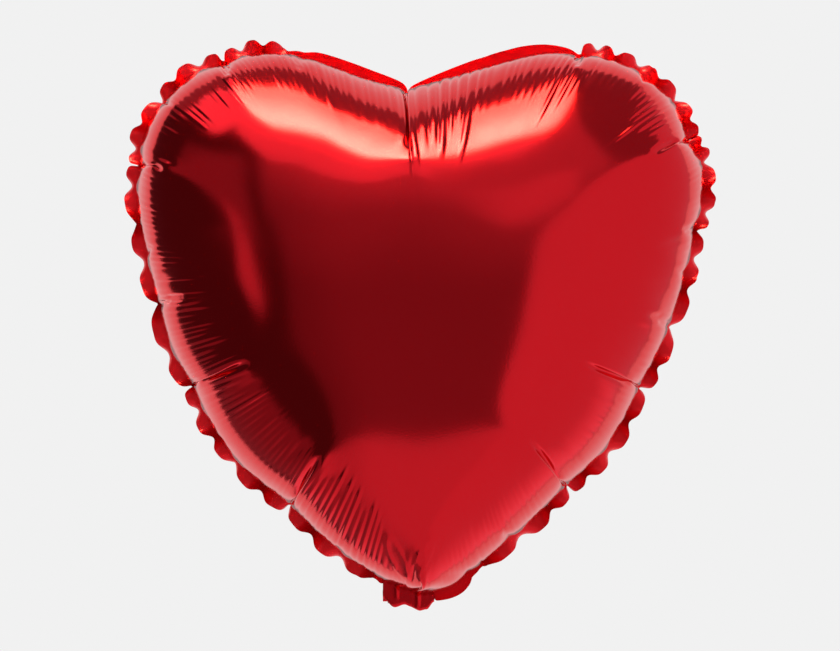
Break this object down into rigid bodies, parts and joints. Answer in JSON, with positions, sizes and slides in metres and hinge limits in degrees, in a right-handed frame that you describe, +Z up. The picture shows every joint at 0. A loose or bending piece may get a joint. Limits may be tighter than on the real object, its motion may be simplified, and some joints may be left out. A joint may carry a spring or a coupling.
{
  "type": "foil balloon",
  "caption": "Heart-shaped foil balloon, inflated: two domed metallic film panels welded round a puckered margin, with a fold-up filling tail and an inner film valve.",
  "frame": {"origin": "the neck: the middle of the seam at the heart's tip, where a ribbon is tied", "axes": "+Z up through the notch between the lobes; +X to the right as seen from the front; +Y to the back; the front film faces -Y"},
  "size_m": [0.37, 0.196, 0.3513],
  "materials": {
    "foil": "mirror-bright metallised film, red",
    "margin": "mirror-bright metallised film, red, crimped",
    "valve_film": "clear film"
  },
  "bodies": {
    "envelope": {"front_panel": "foil", "rear_panel": "foil", "seam_flange": "margin", "valve_neck": "valve_film"},
    "tail": {"tail_front_ply": "margin", "tail_rear_ply": "margin", "tail_valve_front": "valve_film", "tail_valve_rear": "valve_film"},
    "valve_front": {"valve_front_film": "valve_film"},
    "valve_rear": {"valve_rear_film": "valve_film"}
  },
  "joints": [
    {"name": "tail_fold", "type": "hinge", "parent": "envelope", "child": "tail", "pos_m": [0, 0, -0.006], "axis": [-1, 0, 0], "range_deg": [0, 126]},
    {"name": "valve_open", "type": "hinge", "parent": "envelope", "child": "valve_front", "pos_m": [0, 0, 0.0055], "axis": [1, 0, 0], "range_deg": [0, 5], "stiffness_Nm_per_rad": 0.0002},
    {"name": "valve_open_rear", "type": "hinge", "parent": "envelope", "child": "valve_rear", "pos_m": [0, 0, 0.0055], "axis": [-1, 0, 0], "range_deg": [0, 5], "stiffness_Nm_per_rad": 0.0002}
  ],
  "couplings": [
    {"joint": "valve_open_rear", "follows": "valve_open", "ratio": 1}
  ]
}
